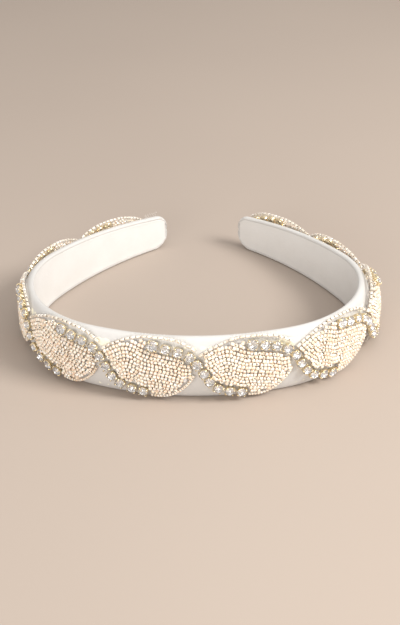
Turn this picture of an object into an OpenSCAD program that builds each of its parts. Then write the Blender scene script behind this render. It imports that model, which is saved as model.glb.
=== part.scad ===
// Padded satin headband with a beaded leaf trim.
// It lies on its lower edge: +Z runs across the band, -Y is the crown, +Y is where the two tips point.
// A place on the band is (s, n, z): s is the distance along the inner face from the middle of the crown,
// positive towards the right tip, n is the distance outwards from the inner face, and z is the height.

/* [Plan of the inner face] */
// Radius of the inner face at the crown
crown_radius = 106; // [100:1:112]
// Angle of the crown arc on each side of the middle
crown_half_angle = 21; // [20:0.5:23]
// Radius of the inner face at the shoulders
shoulder_radius = 48.5; // [47:0.5:50]
// Angle of each shoulder arc
shoulder_angle = 98; // [95:1:100]
// Radius of the inner face along the legs
leg_radius = 154; // [140:1:170]
// Angle of each leg arc
leg_angle = 25.7; // [23:0.1:26]

/* [Band] */
// Width of the band at the crown
crown_width = 27.5; // [26:0.5:30]
// Width of the band at its tips, before their corners are rounded
tip_width = 16.8; // [16:0.2:19]
// Thickness of the padded band at the crown
crown_thickness = 6; // [5.6:0.1:7]
// Thickness of the padded band at its tips
tip_thickness = 4.5; // [4.2:0.1:5]
// Thickness of the band's upper and lower edges
edge_thickness = 2.2; // [2:0.1:2.6]
// Radius of the lower corner of each tip
lower_corner = 7.5; // [5:0.5:8]
// Radius of the upper corner of each tip
upper_corner = 5; // [4:0.5:6]
// Thickness of the core strip
core_thickness = 1.6; // [1.2:0.1:1.7]

/* [Trim] */
// Length of one leaf motif along the band
leaf_pitch = 36.7; // [36:0.1:36.8]
// Distance between neighbouring stones
stone_pitch = 4.6; // [4.55:0.05:4.8]
// Size of the first stone in each row, against the others
first_stone = 1.12; // [1:0.02:1.14]
// Radius of a crystal
crystal_radius = 2; // [1.8:0.05:2]
// Height of the seed beads over the net
bead_height = 1.5; // [1.2:0.1:1.6]

/* [Flex] */
// How far each leg can be squeezed in, in degrees
squeeze_angle = 8; // [4:1:8]

/* [Hidden] */
SEGMENTS = ["crown", "left", "right"];
leaf_count = 10;
crown_leaves = [4, 5];          // the leaves that sit on the crown
ids = ["01", "02", "03", "04", "05", "06", "07", "08", "09", "10"];
layers = ["core", "foam_pad", "satin_cover", "lining", "net_backing"];
trim_pieces = ["seed_beads", "outline_beads", "stone_settings", "crystals"];

origin_y = -60.8;               // puts the origin under the middle of the headband's box
lining_thickness = 0.55;
fabric = 0.4;                   // thickness of the satin
turn_in = 6;                    // how far the satin is folded over onto the inner face
slack = 0.05;                   // clearance between layers
net_thickness = 0.3;
core_inset = 2;                 // from the band's edges to the core
foam_inset = 2.2;
foam_clearance = 0.4;           // between the foam and the satin over it
lining_inset = 1;
dome_power = 0.7;               // how full the padded outer face is
ring_step = 4;                  // along the band
tip_rings = 5;
hinge_n = 9;                    // the flex axis lies just outside the stones, so that nothing collides
gap_angle = squeeze_angle / 2 + 0.4;
net_setback = 2;                // the net stays this far from the flex line
trim_shift = 2.7;               // from the middle of the crown to where the middle two leaves meet
bead_lift = 0.2;                // of the beads and the stones over the net
cup_radius = 2.15;
cup_height = 1.6;
cup_wall = 0.25;
prong_radius = 0.22;
crystal_crown = 0.8;
stones_per_chain = 10;
stones_above = 4;               // how many of them lie above the leaf that the chain starts on
chain_first = 20.3;             // where a leaf's chain of stones starts, from the leaf's own start
chain_middle = 38.9;            // where the chain crosses the middle of the trim
stone_margin = cup_radius + 0.45;
first_fit = cup_radius * first_stone + 0.15;
strip_half = 0.65;              // half the width of a row of outline beads
$fn = 24;

crown_arc = crown_radius * crown_half_angle * PI / 180;
shoulder_arc = shoulder_radius * shoulder_angle * PI / 180;
leg_arc = leg_radius * leg_angle * PI / 180;
tip_s = crown_arc + shoulder_arc + leg_arc;

// ---- The band's plan and section ----

// Follows an arc that turns left by angle a from pose p = [x, y, heading]
function arc_from(p, r, a) =
    [p[0] + r * (sin(p[2] + a) - sin(p[2])), p[1] - r * (cos(p[2] + a) - cos(p[2])), p[2] + a];
shoulder_start = arc_from([0, 0, 0], crown_radius, crown_half_angle);
leg_start = arc_from(shoulder_start, shoulder_radius, shoulder_angle);
function degrees_along(length, radius) = length / radius * 180 / PI;

// [x, y, heading] on the right half of the inner face
function inner_pose(s) =
    s <= crown_arc ? arc_from([0, 0, 0], crown_radius, degrees_along(s, crown_radius)) :
    s <= crown_arc + shoulder_arc ?
        arc_from(shoulder_start, shoulder_radius, degrees_along(s - crown_arc, shoulder_radius)) :
        arc_from(leg_start, leg_radius, degrees_along(s - crown_arc - shoulder_arc, leg_radius));

function band_point(s, n, z) =
    let (p = inner_pose(abs(s)), side = s < 0 ? -1 : 1)
    [side * (p[0] + n * sin(p[2])), p[1] - n * cos(p[2]) + origin_y, z];

function heading(s) = (s < 0 ? -1 : 1) * inner_pose(abs(s))[2];

// Width before the tips are rounded: it tapers from the shoulders on
taper_start = 30;
function band_width(s) =
    crown_width - (crown_width - tip_width) * pow(max(0, abs(s) - taper_start) / (tip_s - taper_start), 1.6);
function thickness(s) = crown_thickness - (crown_thickness - tip_thickness) * pow(abs(s) / tip_s, 2);

function corner(s, r) = abs(s) < tip_s - r ? 0 : r - sqrt(max(0, r * r - pow(abs(s) - tip_s + r, 2)));
function low_edge(s) = corner(s, lower_corner);
function high_edge(s) = band_width(s) - corner(s, upper_corner);

// Distance of the padded outer face from the inner face
function dome(s, z) =
    let (lo = low_edge(s), hi = high_edge(s), q = 2 * (z - lo) / (hi - lo) - 1)
    edge_thickness + (thickness(s) - edge_thickness) * pow(max(0, 1 - q * q), dome_power);

// The trim bridges the edges, so it lies on a slightly wider dome, the more so near the tips
function seat_half(s) = band_width(s) / 2 + 2 + 0.17 * (crown_width - band_width(s));
function trim_seat(s, z) =
    let (q = (z - band_width(s) / 2) / seat_half(s))
    edge_thickness + 0.1 + (thickness(s) - edge_thickness) * pow(max(0, 1 - q * q), dome_power);

// ---- Where each segment of the band starts and ends ----

// Each leg flexes where the crown's leaves end, just clear of the stones on either side
function leaf_start(k) = (k - leaf_count / 2) * leaf_pitch + trim_shift;
left_hinge = 0.5 - leaf_start(crown_leaves[0]);
right_hinge = leaf_start(crown_leaves[1] + 1) - 0.2;

// Each segment stops short of the flex axis by a narrow wedge, which closes when the legs are squeezed
function flex_limit(side, n, leaning) =
    (side < 0 ? left_hinge : right_hinge) + leaning * (hinge_n - n) * tan(gap_angle);
function clipped(s, n, seg) =
    let (side = s < 0 ? -1 : 1)
    side * (seg == "crown" ? min(abs(s), flex_limit(side, n, -1)) : max(abs(s), flex_limit(side, n, 1)));

function reversed(list) = [for (i = [len(list) - 1:-1:0]) list[i]];
function evenly(a, b, step) =
    let (count = ceil((b - a) / step)) [for (i = [0:count]) a + (b - a) * i / count];

// Ring positions of a leg, from the flex line to end, closer together round the tip's corners
function leg_rings(start, end) =
    let (round_from = tip_s - lower_corner)
    concat(evenly(start, round_from, ring_step),
           [for (i = [1:tip_rings]) round_from + (end - round_from) * sin(90 * i / tip_rings)]);
function rings(seg, end) =
    seg == "crown" ? evenly(-left_hinge, right_hinge, ring_step) :
    seg == "right" ? leg_rings(right_hinge, end) : -reversed(leg_rings(left_hinge, end));

// ---- Solids made of two matching grids of points ----

// A closed sheet between an outer and an inner grid: rows run along the band, columns run upwards
module sheet(outer, inner) {
    rows = len(outer);
    cols = len(outer[0]);
    half = rows * cols;
    function at(side, i, j) = side * half + i * cols + j;
    function two(a, b, c, d) = [[a, b, c], [a, c, d]];
    quads = concat(
        [for (i = [0:rows - 2], j = [0:cols - 2]) each concat(
            two(at(0, i, j), at(0, i, j + 1), at(0, i + 1, j + 1), at(0, i + 1, j)),
            two(at(1, i, j), at(1, i + 1, j), at(1, i + 1, j + 1), at(1, i, j + 1)))],
        [for (i = [0:rows - 2]) each concat(
            two(at(0, i, 0), at(0, i + 1, 0), at(1, i + 1, 0), at(1, i, 0)),
            two(at(0, i + 1, cols - 1), at(0, i, cols - 1), at(1, i, cols - 1), at(1, i + 1, cols - 1)))],
        [for (j = [0:cols - 2]) each concat(
            two(at(0, 0, j + 1), at(0, 0, j), at(1, 0, j), at(1, 0, j + 1)),
            two(at(0, rows - 1, j), at(0, rows - 1, j + 1), at(1, rows - 1, j + 1), at(1, rows - 1, j)))]);
    polyhedron(points = [for (g = [outer, inner], row = g, p = row) p], faces = quads, convexity = 6);
}

// Turns a row's [n, z] pairs at s into points
function ring(s, seg, pairs) = [for (p = pairs) band_point(clipped(s, p[0], seg), p[0], p[1])];

// ---- Layers of the band, from the inside out ----

lining_end = tip_s - 1.2;
core_end = tip_s - 2;

function flat_row(s, n, inset) = [[n, low_edge(s) + inset], [n, high_edge(s) - inset]];

module flat_layer(seg, n_in, n_out, inset, end) {
    sheet([for (s = rings(seg, end)) ring(s, seg, flat_row(s, n_out, inset))],
          [for (s = rings(seg, end)) ring(s, seg, flat_row(s, n_in, inset))]);
}

module lining(seg) {
    color("ivory") flat_layer(seg, 0, lining_thickness, lining_inset, lining_end);
}

core_n = lining_thickness + slack + fabric + slack;

module core(seg) {
    color("gainsboro") flat_layer(seg, core_n, core_n + core_thickness, core_inset, core_end);
}

foam_columns = 8;
function foam_z(s, j) =
    let (lo = low_edge(s) + foam_inset, hi = high_edge(s) - foam_inset)
    lo + (hi - lo) * (1 - cos(180 * j / foam_columns)) / 2;

module foam_pad(seg) {
    base = core_n + core_thickness + slack;
    ends = rings(seg, core_end);
    color("lightyellow")
    sheet([for (s = ends) ring(s, seg, [for (j = [0:foam_columns])
              [max(base + 0.2, dome(s, foam_z(s, j)) - fabric - foam_clearance), foam_z(s, j)]])],
          [for (s = ends) ring(s, seg, [for (j = [0:foam_columns]) [base, foam_z(s, j)]])]);
}

// The satin's section: from the lower turn-in round the lower edge, over the pad, to the upper turn-in
cover_columns = 8;
function cover_half(s, inset, low) =
    let (edge = low ? low_edge(s) : high_edge(s),
         up = low ? 1 : -1,
         fold = min(turn_in, (high_edge(s) - low_edge(s)) / 2 - 0.5),
         face = lining_thickness + slack)
    [[face + inset, edge + up * fold],
     [face + inset, edge + up * (0.6 + inset)],
     [face + 0.3 + inset, edge + up * inset],
     [edge_thickness - inset, edge + up * inset]];
function cover_row(s, inset) =
    let (lo = low_edge(s), hi = high_edge(s))
    concat(cover_half(s, inset, true),
           [for (j = [1:cover_columns - 1])
               let (z = lo + (hi - lo) * (1 - cos(180 * j / cover_columns)) / 2) [dome(s, z) - inset, z]],
           reversed(cover_half(s, inset, false)));

module satin_cover(seg) {
    color("white")
    sheet([for (s = rings(seg, tip_s)) ring(s, seg, cover_row(s, 0))],
          [for (s = rings(seg, tip_s)) ring(s, seg, cover_row(s, fabric))]);
}

// ---- The trim's drawing: heights are shares of the trim's own height ----

function tanh(x) = (exp(2 * x) - 1) / (exp(2 * x) + 1);
function trim_height(s) = band_width(s) + 0.25 * (crown_width - band_width(s));

// A leaf climbs from its tip to its peak, and then falls away in a rounder curve
leaf_tip = 0.77;
leaf_peak = 1.05;
leaf_end = 0.86;
leaf_depth = 0.60;
function leaf_top(t) =
    t < 0.5 ? leaf_tip + (leaf_peak - leaf_tip) * pow(sin(180 * t), 0.8) :
              leaf_peak - (leaf_peak - leaf_end) * pow(2 * t - 1, 3.2);
function leaf_bottom(t) = 0.70 - leaf_depth * pow(max(0, sin(180 * pow(t, 1.35))), 0.6);

// The chain of stones swings from the top of one leaf to the bottom of the next. Its first stone fits
// just under the leaf's outline, whatever the trim's height there.
chain_level = 0.53;
chain_swing = 0.27;
chain_run = 4.2;
chain_fall = 0.007;
function chain_share(u) =
    chain_level - chain_swing * tanh((u - chain_middle) / chain_run) - chain_fall * (u - chain_middle);
function chain_z(u, height) =
    (leaf_peak * height - 2 * strip_half - first_fit) * chain_share(u) / chain_share(chain_first);
function chain_slope(u, height) = (chain_z(u + 0.05, height) - chain_z(u - 0.05, height)) / 0.1;
function clearance(u, height) = stone_margin * sqrt(1 + pow(chain_slope(u, height), 2));

// Place of stone i along the chain, found by stepping from stone to stone
function chain_step(u, pitch, height) = pitch / sqrt(1 + pow(chain_slope(u, height), 2));
function stone_u(i, height) =
    i == 0 ? chain_first :
    let (u = stone_u(i - 1, height),
         pitch = i == 1 ? stone_pitch + cup_radius * (first_stone - 1) : stone_pitch)
    u + chain_step(u + chain_step(u, pitch, height) / 2, pitch, height);

function leaf_segment(k) = k < crown_leaves[0] ? "left" : k > crown_leaves[1] ? "right" : "crown";

// Where a leaf's upper row of stones starts, and where the lower row ends
upper_row_start = chain_first - stone_margin;
function lower_row_end(k) =
    stone_u(stones_per_chain - 1, trim_height(leaf_start(k))) - leaf_pitch + stone_margin;

function top_line(k, u) = let (h = trim_height(leaf_start(k) + u)) h * leaf_top(u / leaf_pitch);
function bottom_line(k, u) = let (h = trim_height(leaf_start(k) + u)) h * leaf_bottom(u / leaf_pitch);
function below_upper_row(k, u) =
    let (h = trim_height(leaf_start(k) + u)) u < upper_row_start ? 99 : chain_z(u, h) - clearance(u, h);
function above_lower_row(k, u) =
    let (h = trim_height(leaf_start(k) + u), v = u + leaf_pitch)
    u > lower_row_end(k) ? 0 : chain_z(v, h) + clearance(v, h);
function below_lower_row(k, u) =
    let (h = trim_height(leaf_start(k) + u), v = u + leaf_pitch)
    u > lower_row_end(k) ? 99 : chain_z(v, h) - clearance(v, h);

function outline_z(k, u) = top_line(k, u) - strip_half;
function field_low(k, u) = max(bottom_line(k, u), above_lower_row(k, u));
function field_high(k, u) = min(top_line(k, u) - 2 * strip_half - 0.2, below_upper_row(k, u));

// ---- Solids of the trim ----

// One row of points across the trim, at distance rise over the net's seat
function trim_row(s, low, high, cols, rise) =
    [for (j = [0:cols]) let (z = low + (high - low) * j / cols) band_point(s, trim_seat(s, z) + rise, z)];

module trim_strip(k, us, low, high, cols, height) {
    base = net_thickness + bead_lift;
    sheet([for (u = us) trim_row(leaf_start(k) + u, low(k, u), high(k, u), cols, base + height)],
          [for (u = us) trim_row(leaf_start(k) + u, low(k, u), high(k, u), cols, base)]);
}

field_start = 2.5;
field_end = 34.6;
field_step = 2.8;
field_columns = 4;
jog = 0.05;                     // over this length the field's edge steps round the end of a row of stones
module seed_beads(k) {
    stops = [field_start, upper_row_start, lower_row_end(k), field_end];
    us = [for (i = [0:2])
        each evenly(stops[i] + (i > 0 ? jog : 0), stops[i + 1] - (i < 2 ? jog : 0), field_step)];
    color("wheat")
    trim_strip(k, us, function (k, u) field_low(k, u),
        function (k, u) field_high(k, u), field_columns, bead_height);
}

outline_height = 1.2;
outline_step = 2.2;
outline_start = 1.6;
outline_end = leaf_pitch - 0.4;
lower_outline_gap = 0.15;       // between the field and the row of beads under it
module outline_beads(k) {
    color("burlywood") {
        trim_strip(k, evenly(outline_start, outline_end, outline_step),
            function (k, u) outline_z(k, u) - strip_half,
            function (k, u) outline_z(k, u) + strip_half, 1, outline_height);
        trim_strip(k, evenly(lower_row_end(k) + 0.2, field_end, field_step),
            function (k, u) bottom_line(k, u) - lower_outline_gap - 2 * strip_half,
            function (k, u) bottom_line(k, u) - lower_outline_gap, 1, outline_height);
    }
}

// The net shows a little beyond the beads, and runs on past the first leaf to the left tip
net_margin = 0.2;
net_tail = 7;
net_columns = 8;
net_step = 2.5;
function net_low(k, u) =
    max(0.2, min(bottom_line(k, u) - 2 * strip_half, below_lower_row(k, u)) - net_margin);
function net_high(k, u) = outline_z(k, u) + strip_half + net_margin;
function leaf_of(s) = max(0, min(leaf_count - 1, floor((s - trim_shift) / leaf_pitch) + leaf_count / 2));
function net_row(s, rise) =
    let (k = leaf_of(s), u = max(0.01, s - leaf_start(k)), h = trim_height(s))
    s < leaf_start(0) ? trim_row(s, 0.3 * h, 0.93 * h, net_columns, rise) :
                        trim_row(s, net_low(k, u), net_high(k, u), net_columns, rise);

module net_backing(seg) {
    span = seg == "crown" ? [-left_hinge + net_setback, right_hinge - net_setback] :
           seg == "left" ? [leaf_start(0) - net_tail, -left_hinge - net_setback] :
                           [right_hinge + net_setback, leaf_start(leaf_count) - 0.3];
    places = evenly(span[0], span[1], net_step);
    color("lavenderblush")
    sheet([for (s = places) net_row(s, net_thickness)], [for (s = places) net_row(s, 0)]);
}

// Puts a piece on the net at (s, z), its own +Z pointing outwards and its own +X along a line of slope run
module on_trim(s, z, run) {
    tilt = -atan((trim_seat(s, z + 0.1) - trim_seat(s, z - 0.1)) / 0.2);
    translate(band_point(s, trim_seat(s, z) + net_thickness + bead_lift, z))
    rotate([0, 0, heading(s)]) rotate([90 - tilt, 0, 0]) rotate([0, 0, atan(run)]) children();
}

// The leaf's own stones lie above its field, and the rest of the last leaf's chain lies below it
module on_each_stone(k) {
    for (i = [0:stones_per_chain - 1]) {
        chain_leaf = i < stones_above ? k : k - 1;
        u = stone_u(i, trim_height(leaf_start(chain_leaf + 1)));
        s = leaf_start(chain_leaf) + u;
        on_trim(s, chain_z(u, trim_height(s)), chain_slope(u, trim_height(s)))
        scale(i == 0 ? first_stone : 1) children();
    }
}

module stone_settings(k) {
    color("goldenrod") on_each_stone(k) {
        difference() {
            cylinder(r = cup_radius, h = cup_height);
            translate([0, 0, cup_wall])
            cylinder(r1 = 0.3, r2 = cup_radius - cup_wall / 2, h = cup_height - cup_wall + 0.001);
        }
        for (a = [45:90:315])
            rotate([0, 0, a]) translate([cup_radius + 0.05, 0, cup_height - 0.5])
            cylinder(r = prong_radius, h = 0.9, $fn = 16);
    }
}

module crystals(k) {
    color("white") on_each_stone(k) {
        translate([0, 0, cup_wall + 0.25])
        cylinder(r1 = 0.2, r2 = crystal_radius - 0.12, h = cup_height - cup_wall - 0.2);
        translate([0, 0, cup_height + 0.05])
        cylinder(r1 = crystal_radius - 0.12, r2 = crystal_radius * 0.55, h = crystal_crown);
    }
}

for (g = SEGMENTS) {
    core(g);
    foam_pad(g);
    satin_cover(g);
    lining(g);
    net_backing(g);
}
for (k = [0:leaf_count - 1]) {
    seed_beads(k);
    outline_beads(k);
    stone_settings(k);
    crystals(k);
}
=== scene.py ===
import math

import bpy
import numpy as np
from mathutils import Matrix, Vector


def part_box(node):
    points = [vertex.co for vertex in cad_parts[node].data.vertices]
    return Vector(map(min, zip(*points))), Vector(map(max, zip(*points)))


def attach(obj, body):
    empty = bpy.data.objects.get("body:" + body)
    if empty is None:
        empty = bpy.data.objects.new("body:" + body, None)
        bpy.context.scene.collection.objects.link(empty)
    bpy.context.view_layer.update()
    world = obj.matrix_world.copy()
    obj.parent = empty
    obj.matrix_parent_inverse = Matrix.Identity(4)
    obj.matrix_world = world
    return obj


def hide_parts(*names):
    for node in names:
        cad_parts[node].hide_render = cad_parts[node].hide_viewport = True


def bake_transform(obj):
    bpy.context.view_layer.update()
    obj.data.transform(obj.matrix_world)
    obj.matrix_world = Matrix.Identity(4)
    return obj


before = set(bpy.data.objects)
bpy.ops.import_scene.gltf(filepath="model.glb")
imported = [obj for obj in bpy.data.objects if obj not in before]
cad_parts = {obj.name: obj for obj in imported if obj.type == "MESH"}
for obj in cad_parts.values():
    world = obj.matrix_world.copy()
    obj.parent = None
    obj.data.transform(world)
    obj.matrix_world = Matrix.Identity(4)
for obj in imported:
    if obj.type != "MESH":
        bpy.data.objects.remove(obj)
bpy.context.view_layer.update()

rng = np.random.default_rng(20)

# ---------------------------------------------------------------------------------------------
# The band's plan and section, in millimetres, as the CAD model has them.
# A place on the band is (s, n, z): s runs along the inner face from the middle of the crown,
# positive towards the right tip, n is the distance outwards from that face, and z is the height.
# ---------------------------------------------------------------------------------------------

MM = 0.001
CROWN_RADIUS, CROWN_ANGLE = 106.0, math.radians(21)
SHOULDER_RADIUS, SHOULDER_ANGLE = 48.5, math.radians(98)
LEG_RADIUS, LEG_ANGLE = 154.0, math.radians(25.7)
CROWN_ARC = CROWN_RADIUS * CROWN_ANGLE
SHOULDER_ARC = SHOULDER_RADIUS * SHOULDER_ANGLE
TIP = CROWN_ARC + SHOULDER_ARC + LEG_RADIUS * LEG_ANGLE

CROWN_WIDTH, TIP_WIDTH = 27.5, 16.8
CROWN_THICKNESS, TIP_THICKNESS, EDGE_THICKNESS = 6.0, 4.5, 2.2
LOWER_CORNER, UPPER_CORNER = 7.5, 5.0
TAPER_START = 30.0

# The trim stands a little off the satin at the right shoulder, where it is only tacked.
LOOSE_LIFT, LOOSE_AT, LOOSE_REACH = 2.6, 94.0, 17.0

# The inner face's lowest point in y is the lining's front, which places the plan in the row frame.
LINING_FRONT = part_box("lining_crown")[0][1] / MM
LINING_THICKNESS = 0.55
ORIGIN_Y = LINING_FRONT + LINING_THICKNESS


def arc_from(pose, radius, angle):
    """Follows an arc that turns left by angle from pose = (x, y, heading)."""
    x, y, h = pose
    return (x + radius * (np.sin(h + angle) - np.sin(h)),
            y - radius * (np.cos(h + angle) - np.cos(h)),
            h + angle)


SHOULDER_START = arc_from((0.0, 0.0, 0.0), CROWN_RADIUS, CROWN_ANGLE)
LEG_START = arc_from(SHOULDER_START, SHOULDER_RADIUS, SHOULDER_ANGLE)


def inner_pose(s):
    """x, y and heading on the right half of the inner face, at distances s of 0 or more."""
    crown = arc_from((0.0, 0.0, 0.0), CROWN_RADIUS, s / CROWN_RADIUS)
    shoulder = arc_from(SHOULDER_START, SHOULDER_RADIUS, (s - CROWN_ARC) / SHOULDER_RADIUS)
    leg = arc_from(LEG_START, LEG_RADIUS, (s - CROWN_ARC - SHOULDER_ARC) / LEG_RADIUS)
    on_crown, on_shoulder = s <= CROWN_ARC, s <= CROWN_ARC + SHOULDER_ARC
    return [np.where(on_crown, c, np.where(on_shoulder, d, e)) for c, d, e in zip(crown, shoulder, leg)]


def place(s, n, z):
    """Points of the row frame, in millimetres, for arrays of (s, n, z)."""
    s, n, z = np.broadcast_arrays(np.asarray(s, float), n, z)
    x, y, h = inner_pose(np.abs(s))
    side = np.where(s < 0, -1.0, 1.0)
    return np.stack([side * (x + n * np.sin(h)), y - n * np.cos(h) + ORIGIN_Y, z], -1)


def band_width(s):
    along = np.clip((np.abs(s) - TAPER_START) / (TIP - TAPER_START), 0, 1)
    return CROWN_WIDTH - (CROWN_WIDTH - TIP_WIDTH) * along ** 1.6


def thickness(s):
    return CROWN_THICKNESS - (CROWN_THICKNESS - TIP_THICKNESS) * (np.abs(s) / TIP) ** 2


def corner(s, radius):
    into = np.clip(np.abs(s) - TIP + radius, 0, radius)
    return radius - np.sqrt(radius * radius - into * into)


def low_edge(s):
    return corner(s, LOWER_CORNER)


def high_edge(s):
    return band_width(s) - corner(s, UPPER_CORNER)


def trim_seat(s, z):
    """Height of the trim's seat over the inner face: a slightly wider dome than the band's own."""
    half = band_width(s) / 2
    q = (z - half) / (half + 2 + 0.17 * (CROWN_WIDTH - band_width(s)))
    loose = LOOSE_LIFT * np.exp(-((s - LOOSE_AT) / LOOSE_REACH) ** 2) * np.clip(1 - q ** 4, 0, 1)
    return EDGE_THICKNESS + 0.1 + (thickness(s) - EDGE_THICKNESS) * np.clip(1 - q * q, 0, 1) ** 0.7 + loose


def surface_frame(s, z, rise=0.0, run=0.0):
    """A point on the trim's seat and its axes: along a line of slope run, across it, and outwards."""
    step = 0.05

    def at(a, b):
        return place(a, trim_seat(a, b) + rise, b)

    along = at(s + step, z) - at(s - step, z)
    up = at(s, z + step) - at(s, z - step)
    along = along / np.linalg.norm(along, axis=-1, keepdims=True)
    up = up / np.linalg.norm(up, axis=-1, keepdims=True)
    out = np.cross(along, up)
    out = out / np.linalg.norm(out, axis=-1, keepdims=True)
    up = np.cross(out, along)
    angle = np.arctan(run)[..., None]
    first = along * np.cos(angle) + up * np.sin(angle)
    second = np.cross(out, first)
    return at(s, z), first, second, out


# ---------------------------------------------------------------------------------------------
# The trim's drawing: leaves in a row, each with a row of stones that swings under the next one.
# ---------------------------------------------------------------------------------------------

LEAF_PITCH, LEAF_COUNT = 36.7, 10
CROWN_LEAVES = (4, 5)      # the leaves, counted from 0, that sit on the crown
TRIM_SHIFT = 2.7           # from the middle of the crown to where the middle two leaves meet
CUP_RADIUS, FIRST_STONE = 2.15, 1.12
STONE_PITCH, STONES_PER_CHAIN, STONES_ABOVE = 4.6, 10, 4
CHAIN_FIRST, CHAIN_MIDDLE = 20.3, 38.9
CHAIN_LEVEL, CHAIN_SWING, CHAIN_RUN, CHAIN_FALL = 0.53, 0.27, 4.2, 0.007
FIRST_FIT = CUP_RADIUS * FIRST_STONE + 0.15
LEAF_TIP, LEAF_PEAK, LEAF_END, LEAF_DEPTH = 0.77, 1.05, 0.86, 0.60
OUTLINE_HALF = 0.65


def trim_height(s):
    return band_width(s) + 0.25 * (CROWN_WIDTH - band_width(s))


def leaf_start(k):
    return (k - LEAF_COUNT / 2) * LEAF_PITCH + TRIM_SHIFT


def slope_at(line, u):
    """Slope of the curve z = line(u)."""
    step = 0.05
    return (line(u + step) - line(u - step)) / (2 * step)


def chain_share(u):
    swing = CHAIN_SWING * np.tanh((u - CHAIN_MIDDLE) / CHAIN_RUN)
    return CHAIN_LEVEL - swing - CHAIN_FALL * (u - CHAIN_MIDDLE)


def chain_z(u, height):
    """Height of the chain of stones at u: its first stone fits just under the leaf's outline."""
    return (LEAF_PEAK * height - 2 * OUTLINE_HALF - FIRST_FIT) * chain_share(u) / chain_share(CHAIN_FIRST)


def chain_slope(u, height):
    return slope_at(lambda v: chain_z(v, height), u)


def stone_places(k):
    """Distances along the chain that starts on leaf k, found by stepping from stone to stone."""
    height, found = float(trim_height(leaf_start(k + 1))), [CHAIN_FIRST]
    while len(found) < STONES_PER_CHAIN:
        u = found[-1]
        pitch = STONE_PITCH + (CUP_RADIUS * (FIRST_STONE - 1) if len(found) == 1 else 0.0)
        half = pitch / math.sqrt(1 + chain_slope(u, height) ** 2) / 2
        found.append(u + pitch / math.sqrt(1 + chain_slope(u + half, height) ** 2))
    return found


LOWER_ROW_END = [stone_places(k - 1)[-1] - LEAF_PITCH + CUP_RADIUS + 0.45 for k in range(LEAF_COUNT)]


def leaf_top(t):
    t = np.clip(t, 0, 1)
    rise = LEAF_TIP + (LEAF_PEAK - LEAF_TIP) * np.clip(np.sin(math.pi * np.minimum(t, 0.5)), 0, 1) ** 0.8
    fall = LEAF_PEAK - (LEAF_PEAK - LEAF_END) * np.clip(2 * t - 1, 0, 1) ** 3.2
    return np.where(t < 0.5, rise, fall)


def leaf_bottom(t):
    t = np.clip(t, 0, 1)
    return 0.70 - LEAF_DEPTH * np.clip(np.sin(math.pi * t ** 1.35), 0, 1) ** 0.6


def top_line(k, u):
    return trim_height(leaf_start(k) + u) * leaf_top(u / LEAF_PITCH)


def bottom_line(k, u):
    return trim_height(leaf_start(k) + u) * leaf_bottom(u / LEAF_PITCH)


def chain_line(k, u, margin, v=None):
    """Height of the stones at u on leaf k, moved across their row by margin.

    v is u along the chain itself, where that isn't the same."""
    h = trim_height(leaf_start(k) + u)
    v = u if v is None else v
    return chain_z(v, h) + margin * np.sqrt(1 + chain_slope(v, h) ** 2)


def lower_chain_line(k, u, margin):
    return chain_line(k, u, margin, u + LEAF_PITCH)


def smooth(a, b, x):
    t = np.clip((x - a) / (b - a), 0, 1)
    return t * t * (3 - 2 * t)


# ---------------------------------------------------------------------------------------------
# Mesh making
# ---------------------------------------------------------------------------------------------

def mesh_piece(name, points, quads, materials, indices=None, uv=None, smooth_faces=True, triangles=None):
    """A mesh object from points in millimetres. uv, where given, has one pair for each point."""
    faces = [tuple(q) for q in np.asarray(quads).tolist()] if quads is not None else []
    if triangles is not None:
        faces += [tuple(t) for t in np.asarray(triangles).tolist()]
    mesh = bpy.data.meshes.new(name)
    mesh.from_pydata((np.asarray(points) * MM).tolist(), [], faces)
    for material in materials:
        mesh.materials.append(material)
    if indices is not None:
        mesh.polygons.foreach_set("material_index", np.asarray(indices, np.int32))
    mesh.polygons.foreach_set("use_smooth", np.full(len(mesh.polygons), smooth_faces))
    if uv is not None:
        corner_vertex = np.empty(len(mesh.loops), np.int32)
        mesh.loops.foreach_get("vertex_index", corner_vertex)
        layer = mesh.uv_layers.new(name="band")
        layer.data.foreach_set("uv", (np.asarray(uv)[corner_vertex] * MM).ravel())
    mesh.update()
    made = bpy.data.objects.new(name, mesh)
    bpy.context.collection.objects.link(made)
    return made


def grid_quads(rows, cols, wrap_cols=False, offset=0, flip=False):
    i, j = np.meshgrid(np.arange(rows - 1), np.arange(cols if wrap_cols else cols - 1), indexing="ij")
    i, j = i.ravel(), j.ravel()
    k = (j + 1) % cols
    quads = np.stack([i * cols + j, i * cols + k, (i + 1) * cols + k, (i + 1) * cols + j], -1) + offset
    return quads[:, ::-1] if flip else quads


def end_fan(ring, centre, flip):
    """Triangles from a ring of point indices to a centre point."""
    after = np.roll(ring, -1)
    fan = np.stack([ring, after, np.full(len(ring), centre)], -1)
    return fan[:, ::-1] if flip else fan


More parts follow.
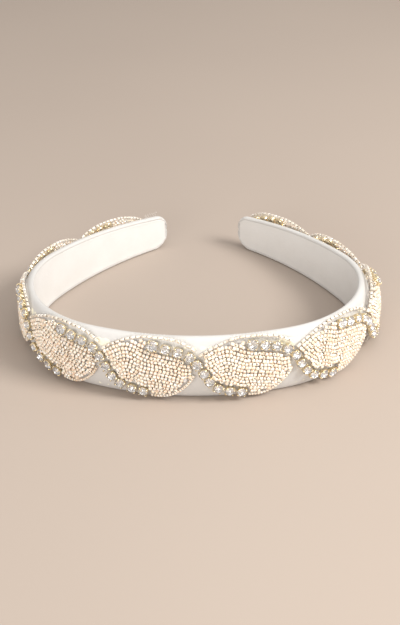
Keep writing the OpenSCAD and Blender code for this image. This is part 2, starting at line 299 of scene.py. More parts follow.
def tube_band(name, stations, section, materials):
    """A closed skin swept along the band.

    section(s) gives a loop of (n, z) pairs, with the same count at each s."""
    loops = [section(s) for s in stations]
    cols = len(loops[0])
    points = np.concatenate([place(np.full(cols, s), lp[:, 0], lp[:, 1]) for s, lp in zip(stations, loops)])
    lengths = [np.concatenate([[0], np.cumsum(np.linalg.norm(np.diff(lp, axis=0), axis=1))]) for lp in loops]
    uv = np.concatenate([np.stack([np.full(cols, s), ln], -1) for s, ln in zip(stations, lengths)])
    left = stations[-1] < 0
    quads = grid_quads(len(stations), cols, wrap_cols=True, flip=left)
    # The end caps have their own points, so that the shading doesn't tilt where the two halves meet
    fans = []
    for ring, flip in ((points[-cols:], not left), (points[:cols], left)):
        start = len(points)
        points = np.concatenate([points, ring, ring.mean(0, keepdims=True)])
        rim = np.arange(start, start + cols)
        fans.append(end_fan(rim, start + cols, flip))
        uv = np.concatenate([uv, np.zeros((cols + 1, 2))])
    return mesh_piece(name, points, quads, materials, uv=uv, triangles=np.concatenate(fans))


def scatter(template, origins, firsts, seconds, outs, scales=None):
    """Copies of a template, a pair (points, quads), one in each frame. Returns (points, quads)."""
    points, quads = template
    scales = np.ones((len(origins), 3)) if scales is None else scales
    local = points[None] * scales[:, None]
    moved = (origins[:, None] + local[..., :1] * firsts[:, None] + local[..., 1:2] * seconds[:, None]
             + local[..., 2:] * outs[:, None])
    count = len(points)
    shifted = quads[None] + (np.arange(len(origins)) * count)[:, None, None]
    return moved.reshape(-1, 3), shifted.reshape(-1, quads.shape[1])


def revolve(profile, segments):
    """Points and quads of a closed profile of (x, r) pairs turned round the X axis."""
    angles = np.arange(segments) * 2 * math.pi / segments
    points = np.array([[x, r * math.cos(a), r * math.sin(a)] for x, r in profile for a in angles])
    count = len(profile)
    quads = []
    for i in range(count):
        for j in range(segments):
            a, b = i * segments, ((i + 1) % count) * segments
            quads.append([a + j, a + (j + 1) % segments, b + (j + 1) % segments, b + j])
    return points, np.array(quads)


# ---------------------------------------------------------------------------------------------
# Materials
# ---------------------------------------------------------------------------------------------

def new_material(name):
    material = bpy.data.materials.new(name)
    material.use_nodes = True
    tree = material.node_tree
    return material, tree, tree.nodes["Principled BSDF"]


def node(tree, kind, **values):
    made = tree.nodes.new(kind)
    for key, value in values.items():
        if key in made.inputs:
            made.inputs[key].default_value = value
        else:
            setattr(made, key, value)
    return made


def ramp(tree, source, stops):
    """A colour ramp on a socket, from (position, (r, g, b)) stops."""
    made = tree.nodes.new("ShaderNodeValToRGB")
    elements = made.color_ramp.elements
    while len(elements) < len(stops):
        elements.new(0.5)
    for element, (position, colour) in zip(elements, stops):
        element.position = position
        element.color = (*colour, 1)
    tree.links.new(source, made.inputs["Fac"])
    return made.outputs["Color"]


def mapped(tree, coordinates, scale):
    """The piece's own coordinates, scaled. coordinates is "UV" for along and across the band, or "Object"."""
    source = tree.nodes.new("ShaderNodeTexCoord")
    mapping = tree.nodes.new("ShaderNodeMapping")
    mapping.inputs["Scale"].default_value = scale
    tree.links.new(source.outputs[coordinates], mapping.inputs["Vector"])
    return mapping.outputs["Vector"]


def bump(tree, shader, height, strength, distance):
    made = node(tree, "ShaderNodeBump", Strength=strength, Distance=distance)
    tree.links.new(height, made.inputs["Height"])
    tree.links.new(made.outputs["Normal"], shader.inputs["Normal"])


def satin_material(name, light, shade, roughness, sheen):
    """Satin: floats of fine warp threads along the band, a slow drift of colour, and a soft sheen."""
    material, tree, shader = new_material(name)
    threads = node(tree, "ShaderNodeTexNoise", Scale=1.0, Detail=2.0, Roughness=0.5)
    tree.links.new(mapped(tree, "UV", (350, 9000, 1)), threads.inputs["Vector"])
    cloud = node(tree, "ShaderNodeTexNoise", Scale=90.0, Detail=3.0, Roughness=0.55)
    tree.links.new(mapped(tree, "Object", (1, 1, 1)), cloud.inputs["Vector"])
    colour = ramp(tree, cloud.outputs["Fac"], [(0.3, shade), (0.7, light)])
    mix = node(tree, "ShaderNodeMix", data_type="RGBA", blend_type="MULTIPLY")
    mix.inputs["Factor"].default_value = 0.12
    tree.links.new(colour, mix.inputs["A"])
    tree.links.new(threads.outputs["Fac"], mix.inputs["B"])
    tree.links.new(mix.outputs["Result"], shader.inputs["Base Color"])
    gloss = node(tree, "ShaderNodeMapRange")
    gloss.inputs["To Min"].default_value = roughness - 0.05
    gloss.inputs["To Max"].default_value = roughness + 0.08
    tree.links.new(threads.outputs["Fac"], gloss.inputs["Value"])
    tree.links.new(gloss.outputs["Result"], shader.inputs["Roughness"])
    shader.inputs["Sheen Weight"].default_value = sheen
    shader.inputs["Sheen Roughness"].default_value = 0.4
    shader.inputs["Specular IOR Level"].default_value = 0.45
    shader.inputs["Anisotropic"].default_value = 0.4
    bump(tree, shader, threads.outputs["Fac"], 0.22, 0.00005)
    return material


def plain_material(name, dark, light, roughness, grain, depth):
    """A moulded or foamed surface: fine grain in colour, gloss and height."""
    material, tree, shader = new_material(name)
    noise = node(tree, "ShaderNodeTexNoise", Scale=grain, Detail=4.0, Roughness=0.6)
    tree.links.new(mapped(tree, "Object", (1, 1, 1)), noise.inputs["Vector"])
    tree.links.new(ramp(tree, noise.outputs["Fac"], [(0.3, dark), (0.7, light)]), shader.inputs["Base Color"])
    shader.inputs["Roughness"].default_value = roughness
    bump(tree, shader, noise.outputs["Fac"], 0.5, depth)
    return material


def bead_material(name, dark, middle, light, metallic, grain):
    """Tinted glass beads: the tint changes from bead to bead, under a clear glossy skin."""
    material, tree, shader = new_material(name)
    cells = node(tree, "ShaderNodeTexVoronoi", Scale=grain)
    tree.links.new(mapped(tree, "Object", (1, 1, 1)), cells.inputs["Vector"])
    split = tree.nodes.new("ShaderNodeSeparateColor")
    tree.links.new(cells.outputs["Color"], split.inputs["Color"])
    tint = ramp(tree, split.outputs["Red"], [(0.0, dark), (0.45, middle), (1.0, light)])
    tree.links.new(tint, shader.inputs["Base Color"])
    shader.inputs["Metallic"].default_value = metallic
    shader.inputs["Roughness"].default_value = 0.14
    shader.inputs["Coat Weight"].default_value = 1.0
    shader.inputs["Coat Roughness"].default_value = 0.03
    shader.inputs["Coat IOR"].default_value = 1.6
    ripple = node(tree, "ShaderNodeTexNoise", Scale=2600.0, Detail=1.0)
    tree.links.new(mapped(tree, "Object", (1, 1, 1)), ripple.inputs["Vector"])
    bump(tree, shader, ripple.outputs["Fac"], 0.25, 0.00008)
    return material


def crystal_material(name):
    material, tree, shader = new_material(name)
    cloud = node(tree, "ShaderNodeTexNoise", Scale=700.0, Detail=1.0)
    tree.links.new(mapped(tree, "Object", (1, 1, 1)), cloud.inputs["Vector"])
    tint = ramp(tree, cloud.outputs["Fac"], [(0.35, (0.97, 0.98, 1.0)), (0.65, (1.0, 0.99, 0.97))])
    tree.links.new(tint, shader.inputs["Base Color"])
    shader.inputs["Roughness"].default_value = 0.01
    shader.inputs["Transmission Weight"].default_value = 1.0
    shader.inputs["IOR"].default_value = 1.65
    return material


def metal_material(name, dark, light, roughness, metallic):
    material, tree, shader = new_material(name)
    noise = node(tree, "ShaderNodeTexNoise", Scale=900.0, Detail=3.0)
    tree.links.new(mapped(tree, "Object", (1, 1, 1)), noise.inputs["Vector"])
    tree.links.new(ramp(tree, noise.outputs["Fac"], [(0.3, dark), (0.7, light)]), shader.inputs["Base Color"])
    shader.inputs["Metallic"].default_value = metallic
    shader.inputs["Roughness"].default_value = roughness
    bump(tree, shader, noise.outputs["Fac"], 0.15, 0.00005)
    return material


# The cover is the same white satin as the lining, given a darker tone: painted shade standing in for the
# shaded outer face of the shoulders.
SHADED_COVER_SATIN = satin_material("cover_satin_painted_shade", (0.665, 0.655, 0.64), (0.635, 0.625, 0.605), 0.38, 0.22)
LINING = satin_material("lining_satin", (0.82, 0.815, 0.80), (0.79, 0.78, 0.76), 0.42, 0.2)
PLASTIC = plain_material("core_plastic", (0.78, 0.77, 0.73), (0.83, 0.82, 0.79), 0.45, 1500, 0.00002)
FOAM = plain_material("pad_foam", (0.86, 0.83, 0.68), (0.93, 0.91, 0.78), 0.95, 2200, 0.0002)
TULLE = plain_material("tulle_thread", (0.93, 0.90, 0.86), (0.98, 0.96, 0.93), 0.6, 4000, 0.00002)
SEED = bead_material("seed_bead_glass", (0.80, 0.62, 0.47), (0.93, 0.77, 0.63), (1.0, 0.90, 0.80), 0.0, 900)
SEED_SHADER = SEED.node_tree.nodes["Principled BSDF"]
SEED_SHADER.inputs["Subsurface Weight"].default_value = 0.6
SEED_SHADER.inputs["Subsurface Radius"].default_value = (1.0, 0.85, 0.7)
SEED_SHADER.inputs["Subsurface Scale"].default_value = 0.0008
TUBE = bead_material("tube_bead_glass", (0.62, 0.52, 0.41), (0.80, 0.72, 0.61), (0.97, 0.92, 0.85), 0.15, 700)
# The faces inside each bead's hole are given a near-black brown: painted shade for the dark of the holes.
HOLE_PAINTED_SHADE = plain_material("bead_hole_painted_shade", (0.10, 0.07, 0.05), (0.22, 0.16, 0.11), 0.6, 3000, 0.00002)
CUP = metal_material("setting_metal", (0.90, 0.72, 0.42), (0.98, 0.88, 0.66), 0.18, 0.85)
FOIL = metal_material("stone_foil", (0.97, 0.97, 0.98), (1.0, 1.0, 1.0), 0.06, 0.70)
CRYSTAL = crystal_material("crystal_glass")


# ---------------------------------------------------------------------------------------------
# The padded band
# ---------------------------------------------------------------------------------------------

ROLL_CENTRE = 1.1          # where the satin's roll is widest, from the inner face
TURN_IN_DEPTH = 0.5        # the inner face of the satin, under the lining
SATIN_THICKNESS = 0.4
CORE_NEAR, CORE_FAR = 1.15, 2.65     # the core's two faces, from the inner face
SIDES = {"left": -1, "right": 1}
# Where each leg flexes, as distances from the middle of the crown: just clear of the stones there
HINGES = {"left": 0.5 - leaf_start(CROWN_LEAVES[0]), "right": leaf_start(CROWN_LEAVES[1] + 1) - 0.2}


def stations_along(end, step, fine_from, fine_step):
    """Places along one half of the band, closer together towards the tip."""
    coarse = np.arange(0, fine_from, step)
    fine = np.linspace(fine_from, end, int((end - fine_from) / fine_step))
    return np.concatenate([coarse, fine])


def pull(s, z):
    """How far the satin is drawn in or ripples: tacks of the trim, and slow unevenness of the pad."""
    height = band_width(s)
    nearest = np.round((s - TRIM_SHIFT) / LEAF_PITCH) * LEAF_PITCH + TRIM_SHIFT
    tack = np.exp(-(((s - nearest) / 4.5) ** 2 + ((z - 0.72 * height) / 4.0) ** 2))
    creases = np.sin((s - nearest) * 1.9 + z * 0.55) * np.exp(-((s - nearest) / 7.0) ** 2)
    crease_zone = np.exp(-((z - 0.93 * height) / 2.6) ** 2) + np.exp(-((z - 0.10 * height) / 2.4) ** 2)
    slow = np.sin(s * 0.21 + 0.7) * np.sin(z * 0.37 + s * 0.05) + 0.6 * np.sin(s * 0.47 + z * 0.21 + 2.0)
    return -0.30 * tack + 0.07 * creases * crease_zone + 0.05 * slow


def cover_section(s, columns=64):
    """The satin's closed section at s: a domed outer face, rolled edges, and a flat inner face."""
    lo, hi = float(low_edge(s)), float(high_edge(s))
    phi = np.linspace(0, math.pi, columns // 2 + 1)
    q = -np.cos(phi)
    z = lo + (hi - lo) * (q + 1) / 2
    outer = ROLL_CENTRE + (float(thickness(s)) - ROLL_CENTRE) * np.sin(phi) ** 0.9
    outer = outer + pull(s, z) * np.sin(phi) ** 0.5
    from_edge = np.minimum(z - lo, hi - z)
    inner = TURN_IN_DEPTH - (TURN_IN_DEPTH + 0.12) * smooth(2.4, 0.9, from_edge)
    short_of_flat = 1 - np.clip(from_edge / 1.1, 0, 1)
    inner = ROLL_CENTRE + (inner - ROLL_CENTRE) * np.sqrt(np.clip(1 - short_of_flat ** 2, 0, 1))
    gather = 0.10 * np.sin(z * 3.1) * smooth(TIP - 9, TIP - 2, abs(s)) * (from_edge > 0.3)
    inner = inner - gather
    return np.concatenate([np.stack([outer, z], -1), np.stack([inner, z], -1)[-2:0:-1]])


def lining_section(s, columns=40):
    """A strip of lining: its edges are turned under, so that it's thickest just inside them."""
    inset = 1.15
    lo, hi = float(low_edge(s)) + inset, float(high_edge(s)) - inset
    z = lo + (hi - lo) * (1 - np.cos(np.linspace(0, math.pi, columns))) / 2
    from_edge = np.minimum(z - lo, hi - z)
    hem = 0.07 * np.exp(-((from_edge - 0.8) / 0.55) ** 2)
    face = 0.42 - 0.30 * np.sqrt(np.clip(from_edge / 0.5, 0, 1)) - hem
    face = face + 0.035 * np.sin(s * 0.33 + z * 0.2) * smooth(0.5, 3, from_edge)
    back = np.full(columns, 0.54)
    return np.concatenate([np.stack([back, z], -1), np.stack([face, z], -1)[::-1]])


def core_section(s):
    """A flat strip with rounded edges."""
    lo, hi = float(low_edge(s)) + 2.0, float(high_edge(s)) - 2.0
    middle, half = (CORE_NEAR + CORE_FAR) / 2, (CORE_FAR - CORE_NEAR) / 2
    angles = np.linspace(-math.pi / 2, math.pi / 2, 7)
    top = np.stack([middle + half * np.sin(angles[::-1]), hi - half + half * np.cos(angles[::-1])], -1)
    bottom = np.stack([middle + half * np.sin(angles), lo + half - half * np.cos(angles)], -1)
    return np.concatenate([bottom, top])


def foam_section(s, columns=24):
    lo, hi = float(low_edge(s)) + 2.2, float(high_edge(s)) - 2.2
    base = 2.75
    phi = np.linspace(0, math.pi, columns)
    z = lo + (hi - lo) * (1 - np.cos(phi)) / 2
    face = base + 0.15 + (float(thickness(s)) - SATIN_THICKNESS - 0.35 - base) * np.sin(phi) ** 0.6
    return np.concatenate([np.stack([face, z], -1), np.stack([np.full(columns, base), z], -1)[::-1]])


# Either side of each hinge, the span where the satin, the beads and all else would turn from the crown to a
# leg; bend() works out its ends but turns nothing
BLEND_BEFORE, BLEND_AFTER = 22.0, 30.0


def bend(piece, side):
    """Bakes the piece's placement into its points. The ends of the shoulder's blend are worked out but not
    used, and nothing is bent.
    """
    sign = SIDES[side]
    ends = [place(sign * (HINGES[side] + d), 0.0, 0.0) * MM for d in (-BLEND_BEFORE, BLEND_AFTER)]
    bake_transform(piece)


def both(name, side):
    return [f"{name}_crown", f"{name}_{side}"]


def band_layer(side, name, section, end, material):
    """One half of a layer of the band, from the middle of the crown to its end near the tip."""
    stations = SIDES[side] * stations_along(end, 0.9, TIP - 12, 0.35)
    piece = tube_band(f"{name}_{side}_half", stations, section, [material])
    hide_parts(*both(name, side))
    bend(piece, side)
    return piece


for side in SIDES:
    cover = band_layer(side, "satin_cover", cover_section, TIP - 0.02, SHADED_COVER_SATIN)
    lining = band_layer(side, "lining", lining_section, TIP - 1.2, LINING)
    band_layer(side, "core", core_section, TIP - 2.0, PLASTIC)
    foam = band_layer(side, "foam_pad", foam_section, TIP - 2.6, FOAM)


# ---------------------------------------------------------------------------------------------
# The net that the trim is worked on: real threads in a hexagonal mesh
# ---------------------------------------------------------------------------------------------

NET_CELL = 1.2             # distance between neighbouring holes
NET_THREAD = 0.035         # radius of a thread
NET_TAIL = 7.0             # how far the bare net runs on past the first leaf
NET_RISE = 0.18            # height of the threads over the trim's seat
NET_HEIGHT = 32.0          # a little more than the band's width, before it is cut to net_limits
NET_REACH = {"left": NET_TAIL - leaf_start(0), "right": leaf_start(LEAF_COUNT) - 0.4}


def net_limits(s):
    """Lowest and highest point of the net at s: a little beyond the leaf's beads and stones."""
    k = np.clip(np.floor((s - TRIM_SHIFT) / LEAF_PITCH) + LEAF_COUNT // 2, 0, LEAF_COUNT - 1)
    u = np.clip(s - leaf_start(k), 0.01, LEAF_PITCH)
    row_end = np.array(LOWER_ROW_END)[k.astype(int)]
    under_stones = np.where(u < row_end, lower_chain_line(k, u, -CUP_RADIUS - 0.5), np.inf)
    low = np.minimum(bottom_line(k, u) - 2 * OUTLINE_HALF, under_stones) - 0.3
    tail, height = s < leaf_start(0), trim_height(s)
    low = np.where(tail, 0.35 * height, np.maximum(low, 0.7))
    return low, np.where(tail, 0.93 * height, top_line(k, u) + 0.3)


def net_half(side):
    sign, far = SIDES[side], NET_REACH[side]
    row_step = NET_CELL * math.sqrt(3) / 2
    edge = NET_CELL / math.sqrt(3)
    starts, stops = [], []
    for row in range(int(NET_HEIGHT / row_step)):
        z = row * row_step
        shift = NET_CELL / 2 if row % 2 else 0.0
        s = np.arange(int(far / NET_CELL)) * NET_CELL + shift + 0.6
        top = np.stack([s, np.full_like(s, z + edge / 2)], -1)
        for ds, dz in ((0.0, edge), (NET_CELL / 2, -edge / 2), (-NET_CELL / 2, -edge / 2)):
            starts.append(top)
            stops.append(top + [ds, dz])
    a, b = np.concatenate(starts), np.concatenate(stops)
    middle = (a + b) / 2
    low, high = net_limits(sign * middle[:, 0])
    keep = (middle[:, 1] > low) & (middle[:, 1] < high) & (middle[:, 0] < far)
    a, b = a[keep], b[keep]
    ends = []
    for p in (a, b):
        at, _, _, out = surface_frame(sign * p[:, 0], p[:, 1], rise=NET_RISE)
        ends.append(at)
    along = ends[1] - ends[0]
    along = along / np.linalg.norm(along, axis=-1, keepdims=True)
    across = np.cross(along, out)
    across = across / np.linalg.norm(across, axis=-1, keepdims=True)
    rings = []
    for end in ends:
        for turn in range(3):
            angle = 2 * math.pi * turn / 3
            spoke = math.cos(angle) * across + math.sin(angle) * np.cross(along, across)
            rings.append(end + NET_THREAD * spoke)
    points = np.stack(rings, 1).reshape(-1, 3)
    base = np.arange(len(a))[:, None, None] * 6
    sides = np.array([[0, 1, 4, 3], [1, 2, 5, 4], [2, 0, 3, 5]])[None] + base
    caps = np.array([[0, 2, 1], [3, 4, 5]])[None] + base
    piece = mesh_piece(f"net_backing_{side}_half", points, sides.reshape(-1, 4), [TULLE],
                       triangles=caps.reshape(-1, 3))
    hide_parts(*both("net_backing", side))
    bend(piece, side)


for side in SIDES:
    net_half(side)


# ---------------------------------------------------------------------------------------------
# Beads
# ---------------------------------------------------------------------------------------------

NET_TOP = 0.4              # the beads' and stones' own seat over the trim's seat
SEED_RADIUS, SEED_LENGTH, SEED_ROW, SEED_PITCH = 0.77, 1.30, 1.56, 1.42
TUBE_RADIUS, TUBE_LENGTH, TUBE_PITCH = 0.60, 1.95, 2.12
TURNED_SHARE = 0.13        # of the seed beads lie askew, and show their holes


def bead_template(radius, length, hole, roundness, segments=12):
    """A drilled bead, its axis along X: (points, outer faces, faces of the hole)."""
    half = length / 2
    r = radius
    profile = [(-0.5 * half, hole), (-0.94 * half, hole * 1.05), (-half, hole + 0.3 * (r - hole)),
               (-half * 0.9, hole + 0.76 * (r - hole)), (-half * roundness, r * 0.97), (0.0, r),
               (half * roundness, r * 0.97), (half * 0.9, hole + 0.76 * (r - hole)),
               (half, hole + 0.3 * (r - hole)), (0.94 * half, hole * 1.05), (0.5 * half, hole)]
    points, quads = revolve(profile, segments)
    inside = segments * np.array([0, len(profile) - 2, len(profile) - 1])
    in_hole = np.zeros(len(quads), bool)
    for start in inside:
        in_hole[start:start + segments] = True
    return points, quads, in_hole


SEED_BEAD = bead_template(SEED_RADIUS, SEED_LENGTH, 0.27, 0.55)
TUBE_BEAD = bead_template(TUBE_RADIUS, TUBE_LENGTH, 0.30, 0.84)


def strung(template, at, first, second, out, scales=None):
    """Beads at frames: (points, faces, material index of each face), the hole's being 1: the hole's faces
    carry painted shade.
    """
    points, quads, in_hole = template
    points, quads = scatter((points, quads), at, first, second, out, scales)
    return points, quads, np.tile(in_hole.astype(int), len(at))


def walk(height_at, start, stop, pitch, first):
    """(u, z, slope) at equal steps along the curve z = height_at(u)."""
    found, u = [], start + first
    while u < stop:
        slope = float(slope_at(height_at, u))
        found.append((u, float(height_at(u)), slope))
        u += pitch / math.sqrt(1 + slope * slope)
    return found


def field_high(k, u):
    """Upper edge of the seed beads: under the outline, and under the row of stones from its first one on."""
    under_outline = top_line(k, u) - 2 * OUTLINE_HALF - 0.1
    under_stones = chain_line(k, u, -CUP_RADIUS - 0.3)
    before_stones = u < CHAIN_FIRST - CUP_RADIUS - 0.55
    return np.where(before_stones, under_outline, np.minimum(under_outline, under_stones))


def field_low(k, u):
    over_stones = np.where(u < LOWER_ROW_END[k], lower_chain_line(k, u, CUP_RADIUS + 0.3), 0.0)
    return np.maximum(bottom_line(k, u) - 0.1, over_stones)


def flow(k, u):
    """The line that the rows of beads follow: the outline at first, then the row of stones."""
    under_outline = top_line(k, u) - 2 * OUTLINE_HALF - 0.1
    under_stones = chain_line(k, np.minimum(u, 32.0), -CUP_RADIUS - 0.3)
    return under_outline + (under_stones - under_outline) * smooth(5.0, 19.5, u)


ROWS_ABOVE, ROWS_BELOW = 5, 16       # rows above the flow line fill the leaf's peak


def seed_beads(k):
    """Rows of beads from the leaf's upper edge to its lower one, in the spaces that the stones leave."""
    beads = []
    for row in range(-ROWS_ABOVE, ROWS_BELOW):
        def height(u, row=row):
            slope = slope_at(lambda v: flow(k, v), u)
            return flow(k, u) - (row + 0.5) * SEED_ROW * np.sqrt(1 + np.minimum(slope * slope, 1.2))
        for u, z, slope in walk(height, 0.9, 35.6, SEED_PITCH, rng.random() * SEED_LENGTH):
            if float(field_low(k, u)) + 0.62 < z < float(field_high(k, u)) - 0.62:
                beads.append((leaf_start(k) + u, z, slope))
    beads = np.array(beads)
    count = len(beads)
    s = beads[:, 0] + rng.normal(0, 0.06, count)
    z = beads[:, 1] + rng.normal(0, 0.08, count)
    run = np.tan(np.arctan(beads[:, 2]) + rng.normal(0, 0.12, count))
    rise = NET_TOP + SEED_RADIUS + rng.normal(0, 0.05, count)
    at, first, second, out = surface_frame(s, z, rise=rise, run=run)
    askew = rng.random((count, 1)) < TURNED_SHARE
    side_to_side = np.where(rng.random((count, 1)) < 0.5, -1, 1)
    lean = np.where(askew, side_to_side * rng.uniform(0.7, 1.2, (count, 1)), rng.normal(0, 0.10, (count, 1)))
    first, out = first * np.cos(lean) + out * np.sin(lean), out * np.cos(lean) - first * np.sin(lean)
    size = 1 + rng.normal(0, 0.04, (count, 1)) + rng.normal(0, 0.05, (count, 1)) * np.array([1, 0, 0])
    points, quads, index = strung(SEED_BEAD, at, first, second, out, np.clip(size, 0.86, 1.10))
    return mesh_piece(f"seed_beads_leaf_{k + 1:02d}", points, quads, [SEED, HOLE_PAINTED_SHADE], indices=index)


def outline_beads(k):
    """Tube beads along the leaf's upper edge, and small seed beads along its lower one."""
    upper = np.array(walk(lambda u: top_line(k, u) - OUTLINE_HALF, 0.6, LEAF_PITCH - 0.3, TUBE_PITCH, 0.9))
    s = leaf_start(k) + upper[:, 0]
    count = len(s)
    run = upper[:, 2] + rng.normal(0, 0.05, count)
    at, first, second, out = surface_frame(s, upper[:, 1] + rng.normal(0, 0.04, count),
                                           rise=NET_TOP + TUBE_RADIUS, run=run)
    tubes, tube_quads, tube_index = strung(TUBE_BEAD, at, first, second, out)
    lower = np.array(walk(lambda u: bottom_line(k, u) - 0.75, LOWER_ROW_END[k] + 0.2, 35.2,
                          SEED_LENGTH * 0.9, 0.3))
    s = leaf_start(k) + lower[:, 0]
    at, first, second, out = surface_frame(s, lower[:, 1], rise=NET_TOP + SEED_RADIUS * 0.8, run=lower[:, 2])
    seeds, seed_quads, seed_index = strung(SEED_BEAD, at, first, second, out, np.full((len(s), 3), 0.8))
    points = np.concatenate([tubes, seeds])
    quads = np.concatenate([tube_quads, seed_quads + len(tubes)])
    index = np.concatenate([tube_index, np.where(seed_index == 1, 1, 2)])
    return mesh_piece(f"outline_beads_leaf_{k + 1:02d}", points, quads, [TUBE, HOLE_PAINTED_SHADE, SEED], indices=index)


# ---------------------------------------------------------------------------------------------
# Stones in their settings
# ---------------------------------------------------------------------------------------------

GIRDLE = 1.98              # radius of a stone
CUP_HEIGHT = 1.6
PRONGS = 4


def cup_template():
    """A cup that widens to its rim, with prongs that close over the stone. Its own +Z is outwards."""
    profile = [(0.0, 1.35), (0.05, 1.62), (0.5, 1.80), (1.0, 1.98), (CUP_HEIGHT - 0.05, 2.12),
               (CUP_HEIGHT, 2.08), (CUP_HEIGHT - 0.04, 1.99), (1.0, 1.80), (0.6, 1.45), (0.35, 0.9),
               (0.3, 0.3), (0.02, 0.3)]
    points, quads = revolve(profile, 28)
    points = points[:, [1, 2, 0]]
    parts, faces, used = [points], [quads], len(points)
    path = [(1.86, 0.05, 0.24), (2.10, 0.8, 0.25), (2.20, 1.5, 0.25), (2.14, 1.95, 0.24), (1.90, 2.24, 0.21),
            (1.66, 2.34, 0.15), (1.58, 2.34, 0.06)]
    for prong in range(PRONGS):
        turn = math.pi / 4 + prong * 2 * math.pi / PRONGS
        rings = []
        for i, (radius, height, girth) in enumerate(path):
            before, after = path[max(i - 1, 0)], path[min(i + 1, len(path) - 1)]
            lean = np.array([after[0] - before[0], after[1] - before[1]])
            lean = lean / np.linalg.norm(lean)
            for corner_angle in np.arange(8) * math.pi / 4:
                side_step, out_step = girth * 1.15 * math.cos(corner_angle), girth * math.sin(corner_angle)
                r = radius + out_step * lean[1]
                rings.append([r * math.cos(turn) - side_step * math.sin(turn),
                              r * math.sin(turn) + side_step * math.cos(turn),
                              height - out_step * lean[0]])
        rings = np.array(rings)
        faces.append(grid_quads(len(path), 8, wrap_cols=True, offset=used))
        parts.append(rings)
        used += len(rings)
    return np.concatenate(parts), np.concatenate(faces)


def stone_template():
    """A round brilliant with its foiled back: (points, crown faces, back faces) as quads and triangles."""
    def ring(count, radius, height, turn=0.0):
        a = (np.arange(count) + turn) * 2 * math.pi / count
        return np.stack([radius * np.cos(a), radius * np.sin(a), np.full(count, height)], -1)
    table = ring(8, 1.08, 0.86, 0.5)
    star = ring(8, 1.52, 0.55, 0.0)
    girdle_top = ring(16, GIRDLE, 0.10)
    girdle_low = ring(16, GIRDLE, -0.02)
    keel = np.array([[0, 0, -1.12]])
    middle = ring(8, 0.95, -0.60, 0.5)
    points = np.concatenate([table, star, girdle_top, girdle_low, middle, keel])
    # Where each ring starts among the points
    t, st, gt, gl, md, kl = 0, 8, 16, 32, 48, 56
    crown = [(t, t + i, t + i + 1) for i in range(1, 7)]
    back = []
    for i in range(8):
        j = (i + 1) % 8
        before = (i - 1) % 8
        crown.append((t + before, st + i, t + i))
        g0, g1, g2 = gt + 2 * i, gt + (2 * i + 1) % 16, gt + (2 * i - 1) % 16
        crown += [(st + i, g0, g1), (st + i, g2, g0)]
        crown += [(t + i, st + i, g1), (t + i, g1, st + j)]
        l0, l1, l2 = gl + 2 * i, gl + (2 * i + 1) % 16, gl + (2 * i + 2) % 16
        back += [(l0, md + i, l1), (l1, md + i, l2)]
        back += [(l0, md + before, md + i), (md + i, md + before, kl)]
    for i in range(16):
        j = (i + 1) % 16
        crown += [(gt + i, gl + i, gl + j), (gt + i, gl + j, gt + j)]
    return points, np.array(crown), np.array(back)


CUP_SHAPE = cup_template()
STONE_POINTS, STONE_CROWN, STONE_BACK = stone_template()


def stone_frames(k):
    """Frames of the ten stones that belong to leaf k: its own row, and the last leaf's row below it."""
    above, below = stone_places(k)[:STONES_ABOVE], stone_places(k - 1)[STONES_ABOVE:]
    places = np.array(above + below)
    s = places + np.where(np.arange(len(places)) < STONES_ABOVE, leaf_start(k), leaf_start(k - 1))
    tall = trim_height(s)
    z = chain_z(places, tall) + rng.normal(0, 0.08, len(s))
    run = chain_slope(places, tall)
    at, first, second, out = surface_frame(s, z, rise=NET_TOP, run=run)
    tip_a, tip_b = rng.normal(0, 0.07, (2, len(s), 1))
    out = out + tip_a * first + tip_b * second
    out = out / np.linalg.norm(out, axis=-1, keepdims=True)
    first = first - out * (first * out).sum(-1, keepdims=True)
    first = first / np.linalg.norm(first, axis=-1, keepdims=True)
    return at, first, np.cross(out, first), out


def stones(k):
    at, first, second, out = stone_frames(k)
    size = np.ones((len(at), 3))
    size[0] = FIRST_STONE
    points, quads = scatter(CUP_SHAPE, at, first, second, out, size)
    cups = mesh_piece(f"stone_settings_leaf_{k + 1:02d}", points, quads, [CUP])
    turn = rng.random((len(at), 1)) * math.pi
    spun = first * np.cos(turn) + second * np.sin(turn)
    across = np.cross(out, spun)
    seat = at + out * (CUP_HEIGHT - 0.02) * size[:, :1]
    points, crown = scatter((STONE_POINTS, STONE_CROWN), seat, spun, across, out, size)
    back = scatter((STONE_POINTS, STONE_BACK), seat, spun, across, out, size)[1]
    index = np.concatenate([np.zeros(len(crown)), np.ones(len(back))])
    gems = mesh_piece(f"crystals_leaf_{k + 1:02d}", points, None, [CRYSTAL, FOIL], indices=index,
                      smooth_faces=False, triangles=np.concatenate([crown, back]))
    return cups, gems


def leaf(k):
    """Every piece of leaf k: those near the crown have their placement baked, the others go on their leg's
    body.
    """
    side = "left" if k < LEAF_COUNT // 2 else "right"
    cups, gems = stones(k)
    made = {"seed_beads": (seed_beads(k), "seed_glass"), "outline_beads": (outline_beads(k), "outline_glass"),
            "stone_settings": (cups, "setting_metal"), "crystals": (gems, "crystal_glass")}
    near_hinge = CROWN_LEAVES[0] - 1 <= k <= CROWN_LEAVES[1] + 1
    for name, (piece, slot) in made.items():
        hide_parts(f"{name}_{k + 1:02d}")
        if near_hinge:
            bend(piece, side)
        else:
            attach(piece, f"{side}_leg")


for k in range(LEAF_COUNT):
    leaf(k)


# ---------------------------------------------------------------------------------------------
# Floor, light and camera
# ---------------------------------------------------------------------------------------------

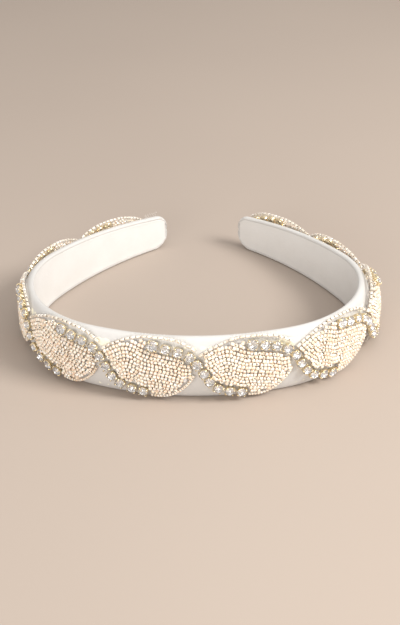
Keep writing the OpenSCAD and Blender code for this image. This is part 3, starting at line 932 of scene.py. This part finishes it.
def floor_material():
    material, tree, shader = new_material("studio_floor")
    noise = node(tree, "ShaderNodeTexNoise", Scale=3.0, Detail=2.0)
    tree.links.new(mapped(tree, "Object", (1, 1, 1)), noise.inputs["Vector"])
    tint = ramp(tree, noise.outputs["Fac"], [(0.3, (0.435, 0.367, 0.317)), (0.7, (0.46, 0.39, 0.336))])
    tree.links.new(tint, shader.inputs["Base Color"])
    shader.inputs["Roughness"].default_value = 0.75
    shader.inputs["Specular IOR Level"].default_value = 0.25
    return material


def studio_floor():
    reach = 3000.0
    points = [[-reach, -reach, -0.05], [reach, -reach, -0.05], [reach, reach, -0.05], [-reach, reach, -0.05]]
    mesh_piece("floor", points, [[0, 1, 2, 3]], [floor_material()])


def area_light(name, position, target, size, power, colour):
    light = bpy.data.lights.new(name, "AREA")
    light.shape = "RECTANGLE"
    light.size, light.size_y = size
    light.energy = power
    light.color = colour
    made = bpy.data.objects.new(name, light)
    made.location = position
    made.rotation_euler = (Vector(target) - Vector(position)).to_track_quat("-Z", "Y").to_euler()
    bpy.context.collection.objects.link(made)


def studio_world():
    world = bpy.data.worlds.new("studio")
    bpy.context.scene.world = world
    world.use_nodes = True
    background = world.node_tree.nodes["Background"]
    background.inputs["Color"].default_value = (1.0, 0.96, 0.92, 1)
    background.inputs["Strength"].default_value = 0.60


def studio_camera():
    """The picture's view: from in front of the crown and 31 degrees up, turned by under a degree."""
    data = bpy.data.cameras.new("camera")
    data.sensor_fit = "VERTICAL"
    data.sensor_height = 36.0
    data.lens = 67.1
    data.clip_start = 0.01
    camera = bpy.data.objects.new("camera", data)
    position, target = Vector((0.0211, -0.4444, 0.2656)), Vector((0.00109, 0.0023, 0.0))
    camera.location = position
    camera.rotation_euler = (target - position).to_track_quat("-Z", "Y").to_euler()
    camera.rotation_euler.rotate_axis("Z", math.radians(-0.84))
    bpy.context.collection.objects.link(camera)
    bpy.context.scene.camera = camera


studio_floor()
studio_world()
area_light("key", (0.75, -0.30, 0.70), (0, 0, 0), (0.40, 0.40), 11.0, (1.0, 0.97, 0.93))
area_light("front_fill", (-0.35, -1.00, 0.28), (0, 0, 0.01), (0.7, 0.5), 5.5, (1.0, 0.97, 0.94))
area_light("overhead", (0.15, -0.25, 1.1), (0, 0, 0), (0.9, 0.9), 3.0, (1.0, 0.98, 0.96))
studio_camera()
bpy.context.scene.view_settings.view_transform = "Standard"
